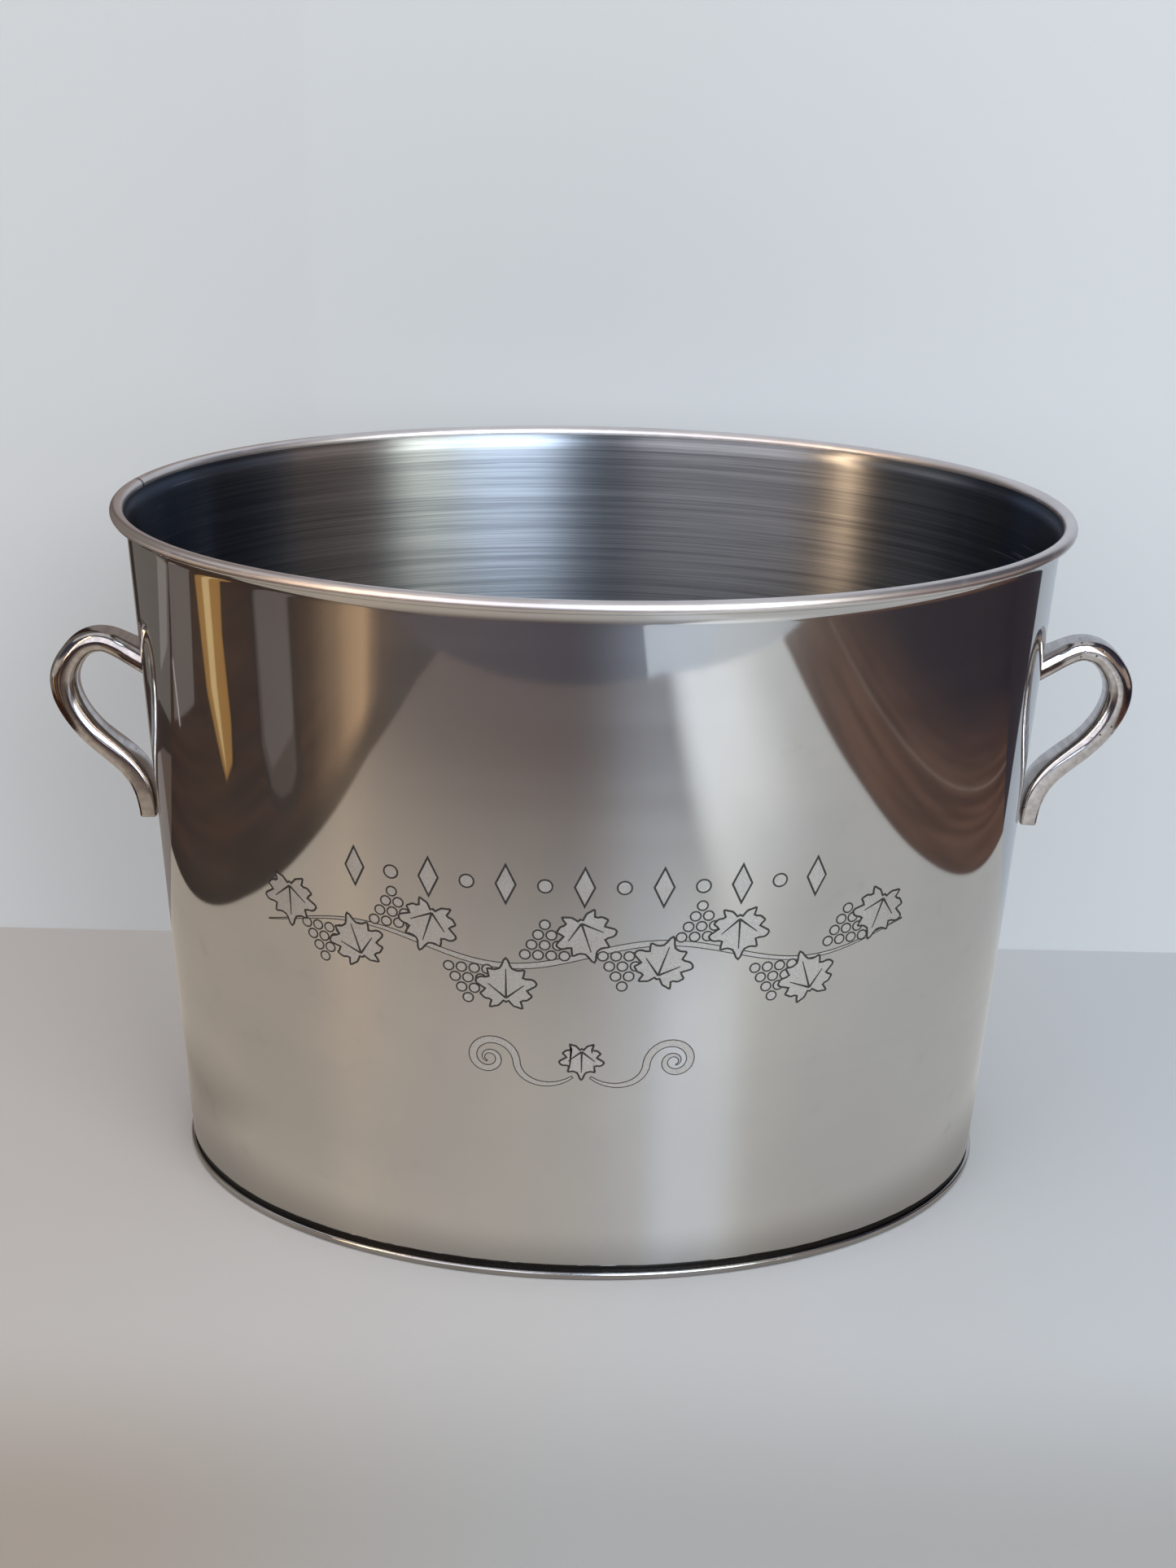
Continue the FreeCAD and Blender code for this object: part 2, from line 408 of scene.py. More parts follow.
# %% Buffed edge material
def buffed(name, first, second, roughness, seam=False, lines=900.0):
    """Hand-buffed steel: fine lines round the ring and patches of different polish."""
    finish = Finish(name)
    x, y = finish.axes()[:2]
    hair = finish.speckle(finish.stretched(12.0, 12.0, lines), 1.0, 3.0, 0.7)
    patch = finish.speckle(finish.place, 28.0, 3.0)
    wear = finish.speckle(finish.place, 120.0, 2.0).between(0.58, 0.7)
    base = finish.mix(patch.between(0.35, 0.65), first, second)
    height = hair * 0.5 + wear * 0.3
    if seam:
        left_end = x.between(-0.15, -0.12, 1.0, 0.0)
        joint = abs(y - JOINT).between(0.0002, 0.0008, 1.0, 0.0) * left_end
        base = finish.mix(joint * 0.85, base, tone(40, 38, 37))
        height = height - joint * 2.0
    shader = finish.node(
        "ShaderNodeBsdfPrincipled",
        {
            "Base Color": base,
            "Metallic": 1.0,
            "Roughness": roughness + patch * 0.08 + wear * 0.08,
            "Normal": finish.bump(height, 0.25, 0.00005),
        },
    )
    return finish.surface(shader)


rim_steel = buffed("buffed rim", tone(240, 230, 226), tone(226, 216, 212), 0.32, seam=True)
foot_steel = buffed("buffed foot seam", tone(208, 205, 202), tone(190, 187, 185), 0.14)
wire_steel = buffed("drawn wire", tone(170, 168, 166), tone(150, 148, 146), 0.3)
panel_steel = buffed(
    "satin base sheet", tone(196, 194, 192), tone(182, 180, 178), 0.26, lines=60.0
)


# %% Polished casting, etched steel and sealing compound
def polished_casting():
    finish = Finish("polished casting")
    pits = finish.node("ShaderNodeTexVoronoi", {"Vector": finish.place, "Scale": 420.0})
    rare = finish.speckle(finish.place, 60.0, 1.0).between(0.60, 0.66)
    pit = pits.between(0.10, 0.22, 1.0, 0.0) * rare
    ripple = finish.speckle(finish.place, 70.0, 2.0)
    rub = finish.speckle(finish.stretched(400.0, 60.0, 400.0), 1.0, 3.0)
    base = finish.mix(rub.between(0.35, 0.65), tone(208, 201, 197), tone(192, 184, 180))
    pitted = finish.mix(pit, base, tone(48, 44, 42))
    height = ripple * 0.9 + rub * 0.05 - pit * 0.6
    shader = finish.node(
        "ShaderNodeBsdfPrincipled",
        {
            "Base Color": pitted,
            "Metallic": 1.0,
            "Roughness": 0.11 + rub * 0.08 + pit * 0.3,
            "Normal": finish.bump(height, 0.22, 0.0004),
        },
    )
    return finish.surface(shader)


def etched(name, first, second, roughness):
    finish = Finish(name)
    frost = finish.speckle(finish.place, 2600.0, 2.0)
    cloud = finish.speckle(finish.place, 90.0, 2.0)
    base = finish.mix(frost.between(0.35, 0.65), first, second)
    shader = finish.node(
        "ShaderNodeBsdfPrincipled",
        {
            "Base Color": base,
            "Metallic": 0.9,
            "Roughness": roughness + cloud * 0.15,
            "Normal": finish.bump(frost, 0.5, 0.00005),
        },
    )
    return finish.surface(shader)


def sealing_compound():
    finish = Finish("cured sealing compound")
    lumps = finish.speckle(finish.place, 700.0, 3.0)
    base = finish.mix(lumps.between(0.3, 0.7), tone(46, 43, 40), tone(66, 62, 58))
    shader = finish.node(
        "ShaderNodeBsdfPrincipled",
        {
            "Base Color": base,
            "Roughness": 0.55 + lumps * 0.2,
            "Normal": finish.bump(lumps, 0.4, 0.0002),
        },
    )
    return finish.surface(shader)


casting = polished_casting()
frosted = etched("etched face", tone(222, 219, 216), tone(200, 197, 194), 0.34)
frosted_edge = etched("etched outline", tone(92, 89, 87), tone(66, 64, 62), 0.40)
compound = sealing_compound()
# A near-black etched finish that paints the shade in the neck's groove.
neck_shade_paint = etched("neck painted dark as shade", tone(50, 47, 45), tone(28, 26, 25), 0.3)
print("finishes:", [material.name for material in bpy.data.materials])

# %% [markdown]
# ## The wall
#
# The strip's outer face is drawn from the folded flange at the foot, up the pinched neck and the
# long lean of the wall, through the cove and round the roll. Short spans next to each bend keep
# the mirror true right up to it. Solidify then gives the sheet its 0.7 mm towards the inside.
# The neck's upper edge was dressed by hand, so it waves a little.

# %% Wall
SHEET = 0.7
LEAN = 7.8
COVE_START, SHOULDER_TOP = 253.1, 6.0
COVE_RADIUS, COVE_TURN = 6.779, 26.27
BEAD_RADIUS, BEAD_OUT, ROLL_START = 2.3, 3.0, 1.4
BEAD_HEIGHT = wall_high.z / MM - BEAD_RADIUS - SPARE
NECK_EDGE, NECK_WAVE = 5.7, 1.6  # where the neck's dressed edge is, and how far waves reach
STEP_LENGTH, STEP_GROWTH = 30.0, 0.12  # the roll is fatter in front of its joint
ROLL_FROM, NECK_SHADE_TO, OUTSIDE_TO = 258.9, 6.0, 6.2  # heights where one finish gives way


def lean_at(height):
    """How far the wall's outer face stands inside its widest line."""
    return -LEAN * (COVE_START - height) / (COVE_START - SHOULDER_TOP)


def hand_work(turn, out, height):
    """Waves along the top of the neck, and the small step where the roll's ends meet."""
    near = max(0.0, 1.0 - abs(height - NECK_EDGE) / NECK_WAVE)
    side = JOINT / MM - HALF_WIDTH * math.sin(turn)
    if height > COVE_START + 4.0 and math.cos(turn) < 0 and 0 < side < STEP_LENGTH:
        growth = STEP_GROWTH * (1.0 - side / STEP_LENGTH)
        rolled = min(1.0, max(0.0, (out - ROLL_START) / (BEAD_OUT - ROLL_START)))
        height += min(0.0, height - BEAD_HEIGHT) * growth * rolled
        out += max(0.0, out - BEAD_OUT) * growth
    drift = noise.noise(Vector((math.cos(turn) * 7.0, math.sin(turn) * 7.0, 3.1)))
    fine = noise.noise(Vector((math.cos(turn) * 26.0, math.sin(turn) * 26.0, 8.4)))
    return out, height + near * (0.35 * drift + 0.22 * fine)


wall_heights = [7.2, 8.0, 11.0, 20.0, 40.0, 70.0, 105.0, 140.0, 175.0, 210.0, 235.0, 246.0, 251.0]
wall_line = (
    [(-7.6, 1.85), (-8.1, 1.85)]
    + arc((-8.1, 2.05), 0.2, 255, 180, 3)
    + [(-8.3, 2.6), (-8.3, 3.4), (-8.3, 4.4), (-8.3, 4.9), (-8.22, 5.25), (-8.02, 5.75)]
    + [(-7.84, 6.1), (lean_at(6.6), 6.6)]
    + [(lean_at(height), height) for height in wall_heights]
    + [(lean_at(252.5), 252.5)]
    + arc((COVE_RADIUS, COVE_START), COVE_RADIUS, 180, 180 - COVE_TURN, 6)
    + arc((ROLL_START - COVE_RADIUS, 259.1), COVE_RADIUS, -COVE_TURN, 0, 6)[1:]
    + arc((BEAD_OUT, BEAD_HEIGHT), BEAD_RADIUS - SHEET, 180, -118, 30)
)


def face_outwards(bm, place):
    """Turns every face of an open sheet to the side that faces out at a place on the +X end."""
    bmesh.ops.recalc_face_normals(bm, faces=bm.faces[:])
    nearest = min(bm.faces, key=lambda face: (face.calc_center_median() - Vector(place)).length)
    if nearest.normal.x < 0:
        bmesh.ops.reverse_faces(bm, faces=bm.faces[:])


bm = spin_ring(wall_line, hand_work)
face_outwards(bm, (0.16, 0.0, 0.13))
bmesh.ops.solidify(bm, geom=bm.faces[:], thickness=SHEET * MM)
for face in bm.faces:
    middle = face.calc_center_median()
    outward = face.normal.x * middle.x / HALF_LENGTH**2
    outward += face.normal.y * middle.y / HALF_WIDTH**2
    if middle.z > ROLL_FROM * MM:
        face.material_index = 2
    # Painted shade: the outside of the neck, up to its dressed edge, takes the near-black finish.
    elif outward > 0 and middle.z < NECK_SHADE_TO * MM:
        face.material_index = 3
    elif outward > 0 or middle.z < OUTSIDE_TO * MM:
        face.material_index = 0
    else:
        face.material_index = 1
wall_finishes = [outside, inside, rim_steel, neck_shade_paint]
wall = finish_piece(bm, "wall_sheet", wall_finishes, ["bucket_wall"], 50.0)
print("wall box", [round(v, 2) for v in (wall.dimensions / MM)])

# %% [markdown]
# ## The base and the folded seam
#
# The base is pressed sheet too: a raised panel, a step down inside the wall, a narrow ring that
# touches the table, and the edge folded up and over the wall's flange. It is spun and thickened
# in the same way, and the panel's middle is filled in.

# %% Base pan
PAN_WALL, HEM_OUT, PANEL_HEIGHT, SEAM_HEIGHT = -9.8, -6.8, 3.2, 3.0
pan_line = (
    [(-34.0, PANEL_HEIGHT), (-24.0, PANEL_HEIGHT), (-14.0, PANEL_HEIGHT), (-10.6, PANEL_HEIGHT)]
    + arc((PAN_WALL - 0.4, PANEL_HEIGHT - 0.4), 0.4, 90, 0, 4)
    + [(PAN_WALL, 1.6)]
    + arc((PAN_WALL + 0.9, 0.9), 0.9, 180, 270, 6)
    + arc((HEM_OUT - 1.0, 1.0), 1.0, 270, 360, 7)
    + [(HEM_OUT, 1.5)]
    + arc((HEM_OUT - 1.0, SEAM_HEIGHT - 1.0), 1.0, 0, 90, 7)
    + [(-8.12, SEAM_HEIGHT)]
)
bm = spin_ring(pan_line)
open_edges = [edge for edge in bm.edges if edge.is_boundary]
inner = [
    edge
    for edge in open_edges
    if all(abs(vert.co.z - PANEL_HEIGHT * MM) < 1e-6 for vert in edge.verts)
]
bmesh.ops.edgeloop_fill(bm, edges=inner)
face_outwards(bm, (0.158, 0.0, 0.0015))
bmesh.ops.solidify(bm, geom=bm.faces[:], thickness=SHEET * MM)
for face in bm.faces:
    middle = face.calc_center_median()
    face.material_index = 1 if middle.z > 3.05 * MM else 0
base = finish_piece(
    bm, "base_sheet", [foot_steel, panel_steel], ["base_pan"], 50.0
)
print("base box", [round(v, 2) for v in (base.dimensions / MM)])

# %% [markdown]
# ## The ear handles
#
# Each ear is a rounded bar that leaves the wall, loops over and comes down to a flat foot. We
# read its section at thirteen places, draw smooth curves through them, and lay a plain tube on
# those curves. The ends are pressed on to the wall's face, as the welds hold them.


# %% Smooth curves through stations
def smooth_through(values, knots, samples):
    """A natural cubic curve through values at knots, read at samples."""
    values, knots = np.array(values, float), np.array(knots, float)
    gap = np.diff(knots)
    count = len(knots)
    matrix, right = np.eye(count), np.zeros(count)
    for i in range(1, count - 1):
        matrix[i, i - 1 : i + 2] = gap[i - 1], 2 * (gap[i - 1] + gap[i]), gap[i]
        slopes = np.diff(values[i - 1 : i + 2]) / gap[i - 1 : i + 1]
        right[i] = 6 * (slopes[1] - slopes[0])
    bend = np.linalg.solve(matrix, right)
    found = []
    for sample in samples:
        i = min(max(int(np.searchsorted(knots, sample)) - 1, 0), count - 2)
        left, rest = sample - knots[i], knots[i + 1] - sample
        found.append(
            (bend[i] * rest**3 + bend[i + 1] * left**3) / (6 * gap[i])
            + (values[i] / gap[i] - bend[i] * gap[i] / 6) * rest
            + (values[i + 1] / gap[i] - bend[i + 1] * gap[i] / 6) * left
        )
    return found


# out from the wall, up from the root, across, thickness, rounding: all in millimetres but the last
STATIONS = [
    (-3.0, -3.0, 19.0, 8.6, 0.47),
    (7.5, 2.4, 14.0, 8.2, 0.47),
    (15.0, 5.3, 12.5, 8.2, 0.47),
    (21.5, 4.0, 12.5, 8.6, 0.47),
    (26.8, -0.8, 12.5, 9.2, 0.47),
    (30.8, -8.6, 12.5, 10.2, 0.47),
    (30.8, -16.1, 12.5, 10.2, 0.47),
    (28.0, -23.6, 12.5, 9.6, 0.47),
    (22.2, -31.8, 12.5, 9.2, 0.47),
    (14.7, -38.8, 13.0, 8.8, 0.40),
    (8.4, -45.8, 13.5, 8.0, 0.30),
    (5.2, -53.8, 14.0, 6.8, 0.20),
    (4.4, -63.6, 14.0, 6.2, 0.20),
]
RINGS, SIDES = 96, 48


def rounded_bar(angle, across, thickness, rounding):
    """A point of the bar's rounded section: sideways and up."""
    radius = rounding * thickness
    side, up = math.cos(angle), math.sin(angle)
    wide = math.copysign(across / 2 - radius, side) + radius * side
    deep = math.copysign(thickness / 2 - radius, up) + radius * up
    return wide, deep


def wall_face(y, height):
    """The x of the wall's outer face at the +X end, in millimetres."""
    along, across = HALF_LENGTH + lean_at(height), HALF_WIDTH + lean_at(height)
    return along * math.sqrt(max(0.0, 1.0 - (y / across) ** 2))


print("stations:", len(STATIONS))


# %% Handles
def make_handle(name, node, top_of_root, side):
    """One ear: a tube of rings laid on smooth curves; side is 1 on the right, -1 on the left."""
    bm = bmesh.new()
    bmesh.ops.create_circle(bm, cap_ends=False, segments=SIDES, radius=1.0)
    ring = bm.edges[:]
    for _ in range(RINGS):
        made = bmesh.ops.extrude_edge_only(bm, edges=ring)["geom"]
        fresh = [item for item in made if isinstance(item, bmesh.types.BMVert)]
        bmesh.ops.translate(bm, verts=fresh, vec=(0, 0, 1))
        edges = [item for item in made if isinstance(item, bmesh.types.BMEdge)]
        ring = [edge for edge in edges if all(vert in fresh for vert in edge.verts)]
    heights = [top_of_root + station[1] for station in STATIONS]
    xs = [HALF_LENGTH + lean_at(z) + station[0] for z, station in zip(heights, STATIONS)]
    steps = np.hypot(np.diff(xs), np.diff(heights))
    knots = np.concatenate([[0.0], np.cumsum(steps)])
    samples = np.linspace(0.0, knots[-1], RINGS + 1)
    path_x = smooth_through(xs, knots, samples)
    path_z = smooth_through(heights, knots, samples)
    across, thick, rounding = (
        np.interp(samples, knots, [station[i] for station in STATIONS]) for i in (2, 3, 4)
    )
    slope_x, slope_z = np.gradient(path_x, samples), np.gradient(path_z, samples)
    for vert in bm.verts:
        k = min(RINGS, max(0, round(vert.co.z)))
        angle = math.atan2(vert.co.y, vert.co.x) + math.pi / SIDES
        wide, deep = rounded_bar(angle, across[k], thick[k], rounding[k])
        length = math.hypot(slope_x[k], slope_z[k])
        up_x, up_z = -slope_z[k] / length, slope_x[k] / length
        x, z = path_x[k] + up_x * deep, path_z[k] + up_z * deep
        x = max(x, wall_face(wide, z) - 0.3)
        vert.co = Vector((side * x, wide, z)) * MM
    ends = [edge for edge in bm.edges if edge.is_boundary]
    bmesh.ops.holes_fill(bm, edges=ends, sides=0)
    bmesh.ops.recalc_face_normals(bm, faces=bm.faces[:])
    foot = min(bm.faces, key=lambda face: face.calc_center_median().z)
    bmesh.ops.bevel(
        bm,
        geom=list(foot.edges),
        offset=0.7 * MM,
        segments=3,
        affect="EDGES",
        profile=0.5,
        material=-1,
    )
    return finish_piece(bm, name, [casting], [node], 50.0)


right_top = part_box("handle_right")[1].z / MM
left_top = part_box("handle_left")[1].z / MM
ROOT_BELOW_TOP = 9.5
right_ear = make_handle("ear_right", "handle_right", right_top - ROOT_BELOW_TOP, 1)
left_ear = make_handle("ear_left", "handle_left", left_top - ROOT_BELOW_TOP, -1)
for ear in (right_ear, left_ear):
    print(ear.name, [round(value, 2) for value in (ear.dimensions / MM)])

# %% [markdown]
# ## The etched ornament
#
# The front carries an etched vine with leaves and berries, a row of lozenges and dots over it
# and a scroll under it. Each motif is cut flat, sliced into narrow upright strips so that it can
# follow the curve, and laid on the wall a few hundredths of a millimetre proud.


# %% Laying flat work on the wall
table_turns = np.linspace(-math.pi, 0.0, 1441)
table_points = np.array([on_oval(turn, -3.5)[:2] for turn in table_turns])
table_steps = np.hypot(*np.diff(table_points, axis=0).T)
table_arc = np.concatenate([[0.0], np.cumsum(table_steps)])
table_arc -= table_arc[-1] / 2


def lay_on_wall(bm, proud):
    """Moves flat work, drawn in millimetres as (along, up), on to the front of the wall."""
    for vert in bm.verts:
        along, up, lift = vert.co
        turn = float(np.interp(along, table_arc, table_turns))
        x, y, _ = on_oval(turn, lean_at(up) + proud + lift)
        vert.co = Vector((x, y, up)) * MM


def add_shape(bm, outline, rim=0.45, lift=0.0, dark=False):
    """A flat motif with a narrow darker border, from an outline of (along, up) points."""
    made = bmesh.ops.create_circle(bm, cap_ends=True, segments=len(outline), radius=1.0)
    for vert, (along, up) in zip(made["verts"], outline):
        vert.co = Vector((along, up, lift))
    face = made["verts"][0].link_faces[0]
    face.normal_update()
    if face.normal.z < 0:
        face.normal_flip()
    border = bmesh.ops.inset_individual(bm, faces=[face], thickness=rim, use_even_offset=True)
    for strip in border["faces"]:
        strip.material_index = 1
    face.material_index = 1 if dark else 0


def turned_points(points, centre, angle, size=1.0):
    """Points turned, scaled and moved."""
    cosine, sine = math.cos(angle) * size, math.sin(angle) * size
    return [
        (centre[0] + x * cosine - y * sine, centre[1] + x * sine + y * cosine) for x, y in points
    ]


def leaf(centre, angle, size):
    """A vine leaf of the maker's own drawing: three broad lobes, two small ones and teeth."""
    points = []
    for i in range(72):
        turn = math.tau * i / 72
        away = abs(math.remainder(turn, math.tau))
        lobes = 0.60 + 0.24 * math.cos(turn * 5.0) ** 2 * (1.0 - away / 7.0)
        lobes += 0.20 * math.exp(-((away / 0.42) ** 2))
        lobes += 0.16 * math.exp(-(((away - 1.2) / 0.4) ** 2))
        teeth = 0.035 * math.cos(turn * 18.0)
        notch = 0.34 * math.exp(-(((away - math.pi) / 0.28) ** 2))
        reach = lobes + teeth - notch
        points.append((reach * math.cos(turn), reach * math.sin(turn)))
    return turned_points(points, centre, angle, size)


def disc(centre, radius, count=20):
    return [
        (
            centre[0] + radius * math.cos(math.tau * i / count),
            centre[1] + radius * math.sin(math.tau * i / count),
        )
        for i in range(count)
    ]


def ribbon(path, widths):
    """An outline round a path whose width changes along it."""
    path = [Vector(point) for point in path]
    left, right = [], []
    for i, point in enumerate(path):
        along = (path[min(i + 1, len(path) - 1)] - path[max(i - 1, 0)]).normalized()
        side = Vector((-along.y, along.x)) * widths[i] / 2
        left.append(tuple(point + side))
        right.append(tuple(point - side))
    return right + left[::-1]


def add_leaf(bm, centre, angle, size, lift):
    """A leaf with three dark veins that start where its stalk would be."""
    add_shape(bm, leaf(centre, angle, size), 0.7, lift)
    for turn, reach in ((0.0, 0.74), (1.15, 0.56), (-1.15, 0.56)):
        tip = (reach * math.cos(turn) - 0.05, reach * math.sin(turn))
        vein = turned_points([(-0.26, 0.0), tip], centre, angle, size)
        add_shape(bm, ribbon(vein, [0.8, 0.35]), 0.1, lift + 0.012, dark=True)


def curve(start, pull, push, end, count=12):
    """Points along a curve that leaves start towards pull and reaches end from push."""
    points = []
    for k in range(count):
        t = k / count
        shares = ((1 - t) ** 3, 3 * t * (1 - t) ** 2, 3 * t * t * (1 - t), t**3)
        ends = (start, pull, push, end)
        points.append(tuple(sum(s * p[i] for s, p in zip(shares, ends)) for i in (0, 1)))
    return points


print("front arc", round(table_arc[-1] * 2, 1), "mm")

# %% Ornament
ROW_HEIGHT, VINE_HEIGHT, SCROLL_HEIGHT = 161.5, 135.5, 93.5
bm = bmesh.new()
for i in range(13):
    along = (i - 6) * 13.0
    if i % 2 == 0:
        wide, tall = 3.7, 8.0
        outline = [(along - wide, ROW_HEIGHT), (along, ROW_HEIGHT - tall)]
        outline += [(along + wide, ROW_HEIGHT), (along, ROW_HEIGHT + tall)]
        add_shape(bm, outline, 0.7)
    else:
        add_shape(bm, disc((along, ROW_HEIGHT), 2.7), 0.6)


def vine_height(along):
    return VINE_HEIGHT + 5.0 * math.sin(along / 52.0 * math.pi)


stem = [(along, vine_height(along)) for along in np.linspace(-114.0, 114.0, 115)]
add_shape(bm, ribbon(stem, [0.7 + 1.9 * math.cos(p[0] / 114.0 * math.pi / 2) for p in stem]), 0.35)
for i in range(9):
    along = (i - 4) * 26.0
    up = 1 if i % 2 == 0 else -1
    centre = (along, vine_height(along) + up * 9.5)
    add_leaf(bm, centre, -up * math.pi / 2 + 0.35 * math.sin(i * 2.1), 12.0, 0.03)
    if i == 8:
        break
    spot, bunch = along + 13.0, vine_height(along + 13.0) - up * 3.4
    for row in range(4):
        for column in range(4 - row):
            berry = (spot + (column - (3 - row) / 2) * 4.4, bunch - up * row * 3.9)
            add_shape(bm, disc(berry, 2.05, 14), 0.55, 0.015)
for side in (-1, 1):
    spiral = []
    for k in range(44):
        turn = k / 43 * 3.4 * math.pi
        radius = 9.5 * math.exp(-turn * 0.17)
        along = side * (32.0 - radius * math.cos(turn))
        spiral.append((along, SCROLL_HEIGHT + radius * math.sin(turn)))
    low, deep = SCROLL_HEIGHT - 6.0, SCROLL_HEIGHT - 12.5
    tail = curve((side * 3.0, low), (side * 11.0, deep), (side * 22.5, low - 3.0), spiral[0])
    path = tail + spiral
    shares = [(i + 1) / len(path) for i in range(len(path))]
    swell = [0.7 + 2.4 * math.sin(math.pi * share**0.7) for share in shares]
    add_shape(bm, ribbon(path, swell), 0.35)
add_leaf(bm, (0.0, SCROLL_HEIGHT + 2.0), -math.pi / 2, 9.0, 0.03)
for edge_x in np.arange(-126.0, 127.0, 3.0):
    bmesh.ops.bisect_plane(
        bm,
        geom=bm.verts[:] + bm.edges[:] + bm.faces[:],
        plane_co=(float(edge_x) + 0.0137, 0, 0),
        plane_no=(1, 0, 0),
    )
lay_on_wall(bm, 0.03)
finish_piece(bm, "etched_vine", [frosted, frosted_edge])

# %% [markdown]
# ## Pieces kept from the frame
#
# The rim's wire and the seam's compound are hidden by the folds, but they are real pieces and
# show where the roll stops short, so each gets its own finish.

# %% Wire and compound
for node, material in (("rim_wire", wire_steel), ("seam_sealant", compound)):
    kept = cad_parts[node]
    kept.data.materials.clear()
    kept.data.materials.append(material)
    print(node, "finished as", material.name)

# %% [markdown]
# ## The studio
#
# A mirror shows its surroundings, so these are as much a part of the finish as the steel. The
# bucket stands on a pale floor in front of a pale wall, which hide from the steel. The dark
# bench, the windows and the room that the steel mirrors hide from the camera instead. Soft
# window light comes from the front right.


# %% Stage helpers
def flat_card(name, corners, material, for_steel_only=True):
    """A flat card through its corners in millimetres; the steel alone sees it, unless told."""
    bm = bmesh.new()
    made = bmesh.ops.create_circle(bm, cap_ends=True, segments=len(corners), radius=1.0)
    for vert, corner in zip(made["verts"], corners):
        vert.co = Vector(corner) * MM
    mesh = bpy.data.meshes.new(name)
    bm.to_mesh(mesh)
    bm.free()
    card = bpy.data.objects.new(name, mesh)
    bpy.context.scene.collection.objects.link(card)
    mesh.materials.append(material)
    if for_steel_only:
        card.visible_camera = card.visible_diffuse = card.visible_shadow = False
        card.visible_transmission = card.visible_volume_scatter = False
    return card


def glow_card(name, corners, red, green, blue, strength=1.0):
    """A card of one colour that gives its own light, for the steel alone."""
    finish = Finish(name)
    light = finish.node("ShaderNodeEmission", {"Color": tone(red, green, blue, strength)})
    return flat_card(name, corners, finish.surface(light))


def lying(x0, y0, x1, y1, z):
    """The corners of a rectangle that lies at a height."""
    return [(x0, y0, z), (x1, y0, z), (x1, y1, z), (x0, y1, z)]


def upright(x0, x1, y, top):
    """The corners of a rectangle that stands on the table and faces the front."""
    return [(x0, y, 0), (x1, y, 0), (x1, y, top), (x0, y, top)]


def at_height(outline, z):
    """The corners of a flat outline of (x, y) points at a height."""
    return [(x, y, z) for x, y in outline]


print("stage helpers ready")

# %% Floor and wall that the camera sees
floor_finish = Finish("pale board")
x, y = floor_finish.axes()[:2]
# Painted light and shade on the board: warmer on the left and cooler on the right as the window
# light falls, and darker over the front part as a painted shade.
painted_window_tint = floor_finish.mix(x.between(-0.30, 0.30), tone(206, 197, 190), tone(211, 214, 217))
painted_front_shade = floor_finish.mix(x.between(-0.17, 0.02), tone(178, 165, 153), tone(184, 183, 181))
painted = floor_finish.mix(y.between(-0.225, -0.125), painted_front_shade, painted_window_tint)
floor_paint = floor_finish.surface(
    floor_finish.node(
        "ShaderNodeBsdfPrincipled",
        {"Base Color": painted, "Roughness": 0.9, "Specular IOR Level": 0.0},
    )
)
floor = flat_card("floor", lying(-4000, -4000, 4000, 4000, 0.0), floor_paint, False)
floor.visible_glossy = False

wall_finish = Finish("pale wall")
facing = wall_finish.node("ShaderNodeNewGeometry", output="Backfacing")
paint = wall_finish.node(
    "ShaderNodeBsdfPrincipled", {"Base Color": tone(238, 241, 243), "Roughness": 0.9}
)
clear = wall_finish.node("ShaderNodeBsdfTransparent")
wall_paint = wall_finish.surface(
    wall_finish.node("ShaderNodeMixShader", {0: facing, 1: paint, 2: clear})
)
WALL_Y = 157.0
backdrop = flat_card("backdrop", upright(-4000, 4000, WALL_Y, 3500), wall_paint, False)
backdrop.visible_glossy = backdrop.visible_shadow = backdrop.visible_diffuse = False
print("backdrop normal", [round(v, 2) for v in backdrop.data.polygons[0].normal])

# %% [markdown]
# ## What the steel mirrors
#
# The wall leans outwards, so it looks down: near its foot it mirrors the board close by, and
# higher up the far side of the board and the bench beyond. Towards the ends it turns away until
# it mirrors the wall behind. Each of these is a flat card that only the steel sees, with its
# outline in millimetres. Each gives its own light, so what the steel shows there is a painted
# reflection, with painted light and shade in it. Cards that overlap lie a fraction of a
# millimetre apart.

# %% Board as the steel sees it
board_finish = Finish("board seen in the steel")
x, y = board_finish.axes()[:2]
# Painted light and shade: warmer on the left and cooler on the right, a painted shade in front
# with a painted pool of light beside it, a painted beam fanning out, and painted shadows round the
# foot and along the left.
sideways = x.between(-0.25, 0.30)
plain = board_finish.mix(sideways, tone(188, 178, 166), tone(200, 203, 204))
ring = ((x / (HALF_LENGTH * MM)).power(2.0) + (y / (HALF_WIDTH * MM)).power(2.0)).power(0.5)
shaded = y.between(-0.55, -0.20, 1.0, 0.0) * x.between(0.135, 0.176, 1.0, 0.0)
lit = y.between(-0.50, -0.24, 1.0, 0.0) * x.between(0.145, 0.195) * x.between(0.24, 0.36, 1.0, 0.2)
bearing = board_finish.node("ShaderNodeMath", {0: x, 1: 0.0 - y}, operation="ARCTAN2")
fan = bearing.between(0.18, 0.34) * bearing.between(0.45, 0.62, 1.0, 0.0)
beam = fan * y.between(-0.36, -0.24, 0.0, 0.45)
shade = board_finish.mix(shaded, plain, tone(98, 84, 78))
beamed = board_finish.mix(beam, shade, tone(238, 244, 255))
bright = board_finish.mix(lit, beamed, tone(246, 250, 255))
